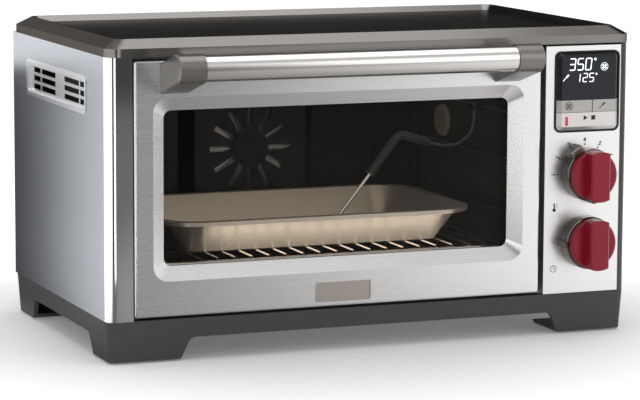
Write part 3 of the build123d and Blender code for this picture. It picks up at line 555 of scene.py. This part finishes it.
# %% Lit digits
SEGMENTS = {"a": ((0, 2), (1, 2)), "b": ((1, 2), (1, 1)), "c": ((1, 1), (1, 0)),
            "d": ((0, 0), (1, 0)), "e": ((0, 1), (0, 0)), "f": ((0, 2), (0, 1)),
            "g": ((0, 1), (1, 1))}
LIT = {"0": "abcdef", "1": "bc", "2": "abged", "3": "abgcd", "5": "afgcd"}
LEAN = 0.1
SEGMENT_GAP = 0.12


def digit(figure, left, bottom, width, height, thick):
    """Outlines of one figure's lit segments."""
    shapes = []
    for name in LIT[figure]:
        (x1, z1), (x2, z2) = SEGMENTS[name]
        start = Vector((x1 * (width - thick) + thick / 2, z1 * (height - thick) / 2 + thick / 2))
        end = Vector((x2 * (width - thick) + thick / 2, z2 * (height - thick) / 2 + thick / 2))
        along = (end - start).normalized()
        side = Vector((-along.y, along.x)) * thick / 2
        gap = along * thick * SEGMENT_GAP
        tip = along * thick / 2
        ends = [start + gap, start + tip + side, end - tip + side, end - gap,
                end - tip - side, start + tip - side]
        shapes.append([(left + p.x + LEAN * p.y, bottom + p.y) for p in ends])
    return shapes


def number(figures, lefts, bottom, size):
    """Outlines of a row of figures, each from its own left edge."""
    return [shape for figure, left in zip(figures, lefts) for shape in digit(figure, left, bottom, *size)]


UPPER_SIZE = (7.4, 12.9, 1.1)
LOWER_SIZE = (5.6, 9.4, 0.85)
screen_plane = edges("display_screen")[0].y
upper = number("350", (498.6, 507.8, 517.0), 276.6, UPPER_SIZE) + hoop((529.0, 288.0), 1.1, 0.5, 12)
lower = number("125", (506.0, 514.4, 521.7), 264.4, LOWER_SIZE) + hoop((530.5, 272.6), 0.9, 0.45, 12)
marks("screen_digits", upper + lower, screen_plane, "digits", "housing")


# %% [markdown]
# ## Screen symbols
# A small fan stands for the moving air, and a slanted needle for the probe.

# %% Screen symbols
BLADE_TURNS = (45, 135, 225, 315)
BLADE_REACH = 0.7
BLADE_HALF_ANGLE = 28
GRIP_STARTS = 0.55
NEEDLE_WIDTH = 0.6
GRIP_WIDTH = 1.7


def fan_mark(centre, radius, width):
    """Four blades in a ring."""
    blades = []
    for turn in BLADE_TURNS:
        tip = around(centre, radius * BLADE_REACH, 3, turn - BLADE_HALF_ANGLE, 2 * BLADE_HALF_ANGLE)
        blades.append([centre] + tip)
    return hoop(centre, radius, width) + blades


def needle_mark(start, end, width):
    """Thin needle with a thicker grip."""
    start, end = Vector(start), Vector(end)
    grip = start.lerp(end, GRIP_STARTS)
    return [bar(start, grip, width * NEEDLE_WIDTH), bar(grip, end, width * GRIP_WIDTH)]


screen_signs = fan_mark((539.7, 280.0), 4.0, 0.4) + needle_mark((492.2, 266.0), (498.8, 272.5), 1.0)
marks("screen_symbols", screen_signs, screen_plane, "digits", "housing")

# %% [markdown]
# ## Key symbols
# The two small keys and the start key carry dark printed signs, which ride on their keys.

# %% Key symbols
marks("conv_key_symbol", fan_mark((499.5, 239.9), 4.2, 0.6), edges("conv_button")[0].y,
      "ink", "conv_key")
marks("probe_key_symbol", needle_mark((534.0, 236.4), (541.0, 242.6), 1.0), edges("probe_button")[0].y,
      "ink", "probe_key")
start_signs = [[(516.6, 224.6), (516.6, 230.0), (521.2, 227.3)],
               [(525.4, 225.0), (530.0, 225.0), (530.0, 229.6), (525.4, 229.6)]]
marks("start_key_symbol", start_signs, key_face, "ink", "start_key")

# %% [markdown]
# ## Dial marks
# The mode dial has a dot at each of its six places and a plain number beyond each dot. The
# numbers are text objects, stood up to face the front and turned to follow the ring.

# %% Dial marks
MODE_CENTRE = (520.5, 168.6)
MODE_ANGLES = (180, 150, 120, 90, 60, 30)
DOT_RING = 30.6
DOT_RADIUS = 0.95
NUMERAL_RING = 35.2
NUMERAL_HEIGHT = 6.6
NUMERAL_SWELL = 0.15


def on_dial(radius, angle):
    """Point at an angle on a ring round the mode dial."""
    return around(MODE_CENTRE, radius, 1, angle, 0)[0]


dots = [around(on_dial(DOT_RING, angle), DOT_RADIUS, 10) for angle in MODE_ANGLES]
marks("mode_dots", dots, FRONT, "ink", "housing")


def numeral(name, figure, centre, turn, height):
    """Thin text that stands on the panel, turned by degrees anticlockwise."""
    letters = bpy.data.curves.new(name, "FONT")
    letters.body = figure
    letters.size = height * MM
    letters.align_x = "CENTER"
    letters.align_y = "CENTER"
    letters.extrude = MARK_DEPTH / 2
    letters.offset = NUMERAL_SWELL * MM
    letters.materials.append(finishes["ink"])
    piece = bpy.data.objects.new(name, letters)
    piece.location = (centre[0] * MM + OVEN_LEFT, FRONT - MARK_DEPTH / 2, centre[1] * MM)
    piece.rotation_euler = (math.pi / 2, math.radians(-turn), 0.0)
    bpy.context.scene.collection.objects.link(piece)
    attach(piece, "housing")


for place, angle in enumerate(MODE_ANGLES):
    numeral("mode_numeral_%d" % (place + 1), str(place + 1), on_dial(NUMERAL_RING, angle), angle - 90,
            NUMERAL_HEIGHT)
print(len(MODE_ANGLES), "numerals")

# %% [markdown]
# ## Signs beside the two dials
# A thermometer and a clock face tell the dials apart without a word.

# %% Signs beside the dials
thermometer = ([around((486.5, 131.4), 1.9, 14)] + strokes([(486.5, 132.0), (486.5, 138.6)], 1.5)
               + [bar((488.4, z), (490.4, z), 0.45) for z in (134.0, 135.8, 137.6)])
clock = hoop((486.5, 69.6), 3.4, 0.6) + strokes([(486.5, 72.0), (486.5, 69.6), (488.2, 68.7)], 0.6)
marks("dial_signs", thermometer + clock, FRONT, "ink", "housing")

# %% [markdown]
# ## Studio
# A pale floor, soft lamps and a white sky that is darker overhead. Cards stand just outside
# the picture, as a photographer places them, because polished steel shows only what is
# round it.

# %% Floor
REACH = 6.0
floor_mesh = bpy.data.meshes.new("studio_floor")
floor_mesh.from_pydata([(-REACH, -REACH, 0), (REACH, -REACH, 0), (REACH, REACH, 0), (-REACH, REACH, 0)],
                       [], [(0, 1, 2, 3)])
floor = bpy.data.objects.new("studio_floor", floor_mesh)
bpy.context.scene.collection.objects.link(floor)
floor_material, floor_tree, floor_shader = principled("pale_floor")
set_inputs(floor_shader, Roughness=0.9, Specular_IOR_Level=0.0, Emission_Strength=1.0)
floor_mesh.materials.append(floor_material)
print("floor reaches", REACH, "m")

# %% [markdown]
# ## What the steel sees of the floor
# The lit part of a studio floor ends somewhere. In the photograph the door is darker at its
# upper left, because there it shows the unlit floor far in front. Reflected rays see the
# floor's shade fall off in that direction, and all others see it even. A little glow far
# from the oven keeps the background white. The glow is weaker near the oven, which paints
# shade on the floor round the base, added to the lamps' own shadow there.

# %% Floor as the steel sees it
FLOOR_SHADE = (0.9, 0.9, 0.9)
FLOOR_DARKEST = 0.1
FLOOR_LIGHTEST = 0.78
# GLOW_NEAR is painted shade: the floor glows less near the oven than far from it.
GLOW_NEAR = 0.12
GLOW_FAR = 0.6
GLOW_STARTS = 0.2
GLOW_FULL = 0.7
place = add(floor_tree, "ShaderNodeTexCoord").outputs["Object"]


def slope(direction, offset):
    """Rises along a direction on the floor, by its length for each metre."""
    dot = add(floor_tree, "ShaderNodeVectorMath", operation="DOT_PRODUCT")
    dot.inputs[1].default_value = direction
    floor_tree.links.new(place, dot.inputs[0])
    return maths(floor_tree, "ADD", dot.outputs["Value"], offset)


def clamped(value, low, high):
    """A value held between two limits."""
    node = add(floor_tree, "ShaderNodeClamp", Min=low, Max=high)
    floor_tree.links.new(value, node.inputs["Value"])
    return node.outputs[0]


FALL_OFF = (1.0, 0.49, 0.0)
FALL_OFF_START = 0.6
LEFT_RISE = (-5.35, 2.72, 0.0)
LEFT_START = -1.12
front_part = clamped(slope(FALL_OFF, FALL_OFF_START), FLOOR_DARKEST, FLOOR_LIGHTEST)
left_part = clamped(slope(LEFT_RISE, LEFT_START), 0.0, 1.0)
floor_ray = add(floor_tree, "ShaderNodeLightPath")
floor_shade = add(floor_tree, "ShaderNodeMix", data_type="RGBA")
floor_shade.inputs["A"].default_value = rgba(FLOOR_SHADE)
floor_tree.links.new(floor_ray.outputs["Is Glossy Ray"], floor_shade.inputs["Factor"])
floor_tree.links.new(maths(floor_tree, "MAXIMUM", front_part, left_part), floor_shade.inputs["B"])
floor_tree.links.new(floor_shade.outputs["Result"], floor_shader.inputs["Base Color"])
distance = add(floor_tree, "ShaderNodeVectorMath", operation="LENGTH")
floor_tree.links.new(place, distance.inputs[0])
# The glow rises with distance from the oven, which paints shade on the floor round the base.
glow = add(floor_tree, "ShaderNodeMapRange", interpolation_type="SMOOTHSTEP")
set_inputs(glow, From_Min=GLOW_STARTS, From_Max=GLOW_FULL, To_Min=GLOW_NEAR, To_Max=GLOW_FAR)
floor_tree.links.new(distance.outputs["Value"], glow.inputs["Value"])
glow_shade = add(floor_tree, "ShaderNodeMix", data_type="RGBA", blend_type="MULTIPLY")
glow_shade.inputs["Factor"].default_value = 1.0
floor_tree.links.new(floor_shade.outputs["Result"], glow_shade.inputs["A"])
floor_tree.links.new(glow.outputs["Result"], glow_shade.inputs["B"])
floor_tree.links.new(glow_shade.outputs["Result"], floor_shader.inputs["Emission Color"])
print("floor glow", GLOW_NEAR, "near the oven and", GLOW_FAR, "far from it")

# %% [markdown]
# ## Sky
# The sky is white at the horizon and darker overhead, so the lid doesn't mirror a blank
# white. The camera, mirrors and glass see it at full strength, and it lights the oven a
# little less.

# %% World
SKY_LIGHT = 0.85
SKY_HORIZON = 1.0
SKY_OVERHEAD = 0.62
world = bpy.data.worlds.new("studio")
world.use_nodes = True
bpy.context.scene.world = world
sky = world.node_tree
sky_background = sky.nodes["Background"]
sky_place = add(sky, "ShaderNodeTexCoord")
sky_parts = add(sky, "ShaderNodeSeparateXYZ")
sky.links.new(sky_place.outputs["Generated"], sky_parts.inputs[0])
sky_height = add(sky, "ShaderNodeMapRange")
set_inputs(sky_height, From_Min=0.05, From_Max=0.7, To_Min=SKY_HORIZON, To_Max=SKY_OVERHEAD)
sky.links.new(sky_parts.outputs["Z"], sky_height.inputs["Value"])
sky.links.new(sky_height.outputs["Result"], sky_background.inputs["Color"])
ray = add(sky, "ShaderNodeLightPath")
seen = ray.outputs["Is Camera Ray"]
for kind in ("Is Glossy Ray", "Is Transmission Ray"):
    seen = maths(sky, "MAXIMUM", seen, ray.outputs[kind])
strength = add(sky, "ShaderNodeMix", data_type="FLOAT", A=SKY_LIGHT, B=1.0)
sky.links.new(seen, strength.inputs["Factor"])
sky.links.new(strength.outputs["Result"], sky_background.inputs["Strength"])
print("sky lights at", SKY_LIGHT)

# %% [markdown]
# ## Cards
# Each upright card is given by its two ends on the floor plan and its height. A dark card
# and a lit strip give the corner post its stripes, one card shades the side, one hangs
# behind the lid and one stands far in front. Another lies on the floor behind the left
# side, where the side shows it low down. The cards show only in what the metal mirrors, so
# they hide nothing in views from other sides.

# %% Cards
dark_sheet = coated("dark_card", (0.03, 0.03, 0.032), 0.9, pebble=60.0)
lit_sheet = glowing("lit_card", (1.0, 0.99, 0.98), 0.9)


def card_at(name, corners, material):
    """Flat card that only reflections show."""
    mesh = bpy.data.meshes.new(name)
    mesh.from_pydata(corners, [], [(0, 1, 2, 3)])
    mesh.materials.append(material)
    card = bpy.data.objects.new(name, mesh)
    bpy.context.scene.collection.objects.link(card)
    card.visible_camera = False
    card.visible_diffuse = False
    card.visible_transmission = False
    card.visible_shadow = False
    return card


def upright(name, start, end, low, high, material=dark_sheet):
    return card_at(name, [(*start, low), (*end, low), (*end, high), (*start, high)], material)


cards = [
    upright("post_card", start=(-0.535, -0.573), end=(-0.385, -0.632), low=0.0, high=0.4),
    upright("post_strip", start=(-0.372, -0.636), end=(-0.235, -0.64), low=0.0, high=0.4, material=lit_sheet),
    upright("side_card", start=(-0.4215, 0.344), end=(-0.155, 0.43), low=0.0, high=0.25),
    upright("lid_card", start=(-0.2, 0.5), end=(1.5, 0.5), low=0.31, high=1.3),
    upright("front_card", start=(-1.3, -2.4), end=(0.8, -2.4), low=0.0, high=1.6),
    card_at("floor_card", [(-0.316, 0.045, 0.001), (-0.29, 0.285, 0.001),
                           (-0.25, 0.42, 0.001), (-0.42, 0.343, 0.001)], dark_sheet),
]
print(len(cards), "cards")

# %% [markdown]
# ## Lamps
# Two large soft lamps light the whole oven. Two small warm ones light its inside: one
# under the cavity's roof, and one low behind the door that brings out the pan's front.

# %% Lamps
WARM = (1.0, 0.9, 0.78)
INSIDE = FRONT + 0.12
BEHIND_DOOR = FRONT + 0.05


def soft_lamp(name, place, target, size, power, colour=(1.0, 1.0, 1.0)):
    """Rectangular lamp at a place, turned to a target."""
    lamp_data = bpy.data.lights.new(name, "AREA")
    lamp_data.shape = "RECTANGLE"
    lamp_data.size, lamp_data.size_y = size
    lamp_data.energy = power
    lamp_data.color = colour
    lamp = bpy.data.objects.new(name, lamp_data)
    lamp.location = place
    lamp.rotation_euler = (Vector(target) - Vector(place)).to_track_quat("-Z", "Y").to_euler()
    bpy.context.scene.collection.objects.link(lamp)
    return lamp


lamps = [
    soft_lamp("overhead", (0.0, -0.1, 1.6), (0, 0, 0.2), size=(1.6, 1.2), power=8),
    soft_lamp("front_right", (1.1, -1.9, 0.9), (0.1, -0.1, 0.15), size=(1.0, 1.2), power=4),
    soft_lamp("inside", (0.0, INSIDE, 0.262), (0.0, INSIDE, 0.1),
              size=(0.36, 0.14), power=0.055, colour=WARM),
    soft_lamp("pan_light", (0.0, BEHIND_DOOR, 0.077), (0.0, INSIDE, 0.09),
              size=(0.29, 0.034), power=0.075, colour=WARM),
]
bpy.context.scene.view_settings.view_transform = "Standard"
print(len(lamps), "lamps")
